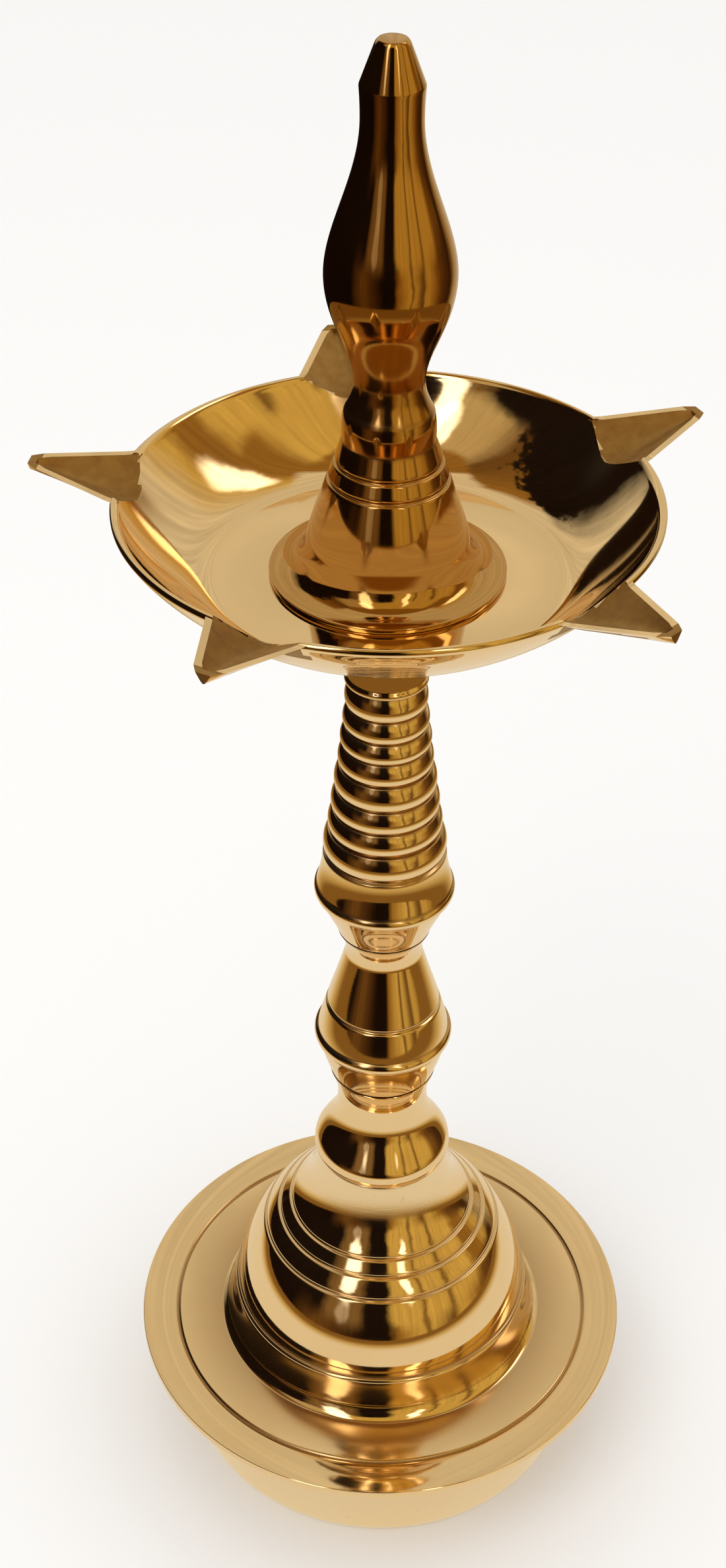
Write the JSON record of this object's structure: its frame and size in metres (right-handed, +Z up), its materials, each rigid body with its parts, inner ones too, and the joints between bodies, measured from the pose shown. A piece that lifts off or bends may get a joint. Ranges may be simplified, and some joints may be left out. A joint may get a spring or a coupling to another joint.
{
  "type": "oil lamp",
  "caption": "Standing brass oil lamp: hollow bell base, screwed turned stem, shallow oil dish with wick spouts, and a turned finial that clamps the dish.",
  "frame": {"origin": "centre of the space that the lamp takes on the surface it stands on; the five spouts have no opposite partners, so the lamp's upright axis, about which every piece is turned and every joint works, stands at x = 2.451 mm, y = -2.100 mm", "axes": "+Z up along the lamp's axis; +X to the right and +Y away from the viewer in the usual front view"},
  "size_m": [0.0984, 0.0988, 0.2558],
  "materials": {
    "polished_brass": "polished cast and turned brass",
    "finial_brass": "polished brass, warmer and darker",
    "stud_brass": "machine cut, unpolished",
    "washer_fibre": "pressed fibre, matte"
  },
  "bodies": {
    "stand": {"base": "polished_brass", "collar": "polished_brass"},
    "knop_thread": {"base_stud": "stud_brass"},
    "knop": {"knop": "polished_brass"},
    "column_thread": {"column_stud": "stud_brass"},
    "column": {"column": "polished_brass"},
    "dish_seal": {"dish_washer": "washer_fibre"},
    "dish": {"dish": "polished_brass"},
    "finial_thread": {"finial_stud": "stud_brass"},
    "finial": {"finial": "finial_brass"}
  },
  "joints": [
    {"name": "knop_lift", "type": "slide", "parent": "stand", "child": "knop_thread", "axis": [0, 0, 1], "range_m": [0, 0.012]},
    {"name": "knop_turn", "type": "hinge", "parent": "knop_thread", "child": "knop", "pos_m": [0.00245, -0.0021, 0.0812], "axis": [0, 0, 1], "range_deg": [0, 3457]},
    {"name": "column_lift", "type": "slide", "parent": "knop", "child": "column_thread", "axis": [0, 0, 1], "range_m": [0, 0.012]},
    {"name": "column_turn", "type": "hinge", "parent": "column_thread", "child": "column", "pos_m": [0.00245, -0.0021, 0.1116], "axis": [0, 0, 1], "range_deg": [0, 3457]},
    {"name": "dish_lift", "type": "slide", "parent": "column", "child": "dish_seal", "axis": [0, 0, 1], "range_m": [0, 0.012]},
    {"name": "dish_turn", "type": "hinge", "parent": "dish_seal", "child": "dish", "pos_m": [0.00245, -0.0021, 0.1761], "axis": [0, 0, 1], "continuous": true},
    {"name": "finial_lift", "type": "slide", "parent": "dish_seal", "child": "finial_thread", "axis": [0, 0, 1], "range_m": [0, 0.012]},
    {"name": "finial_turn", "type": "hinge", "parent": "finial_thread", "child": "finial", "pos_m": [0.00245, -0.0021, 0.178], "axis": [0, 0, 1], "range_deg": [0, 4321]}
  ],
  "couplings": [
    {"joint": "knop_turn", "follows": "knop_lift", "rad_per_m": 5026.5},
    {"joint": "column_turn", "follows": "column_lift", "rad_per_m": 5026.5},
    {"joint": "finial_turn", "follows": "finial_lift", "rad_per_m": 6283.2}
  ]
}
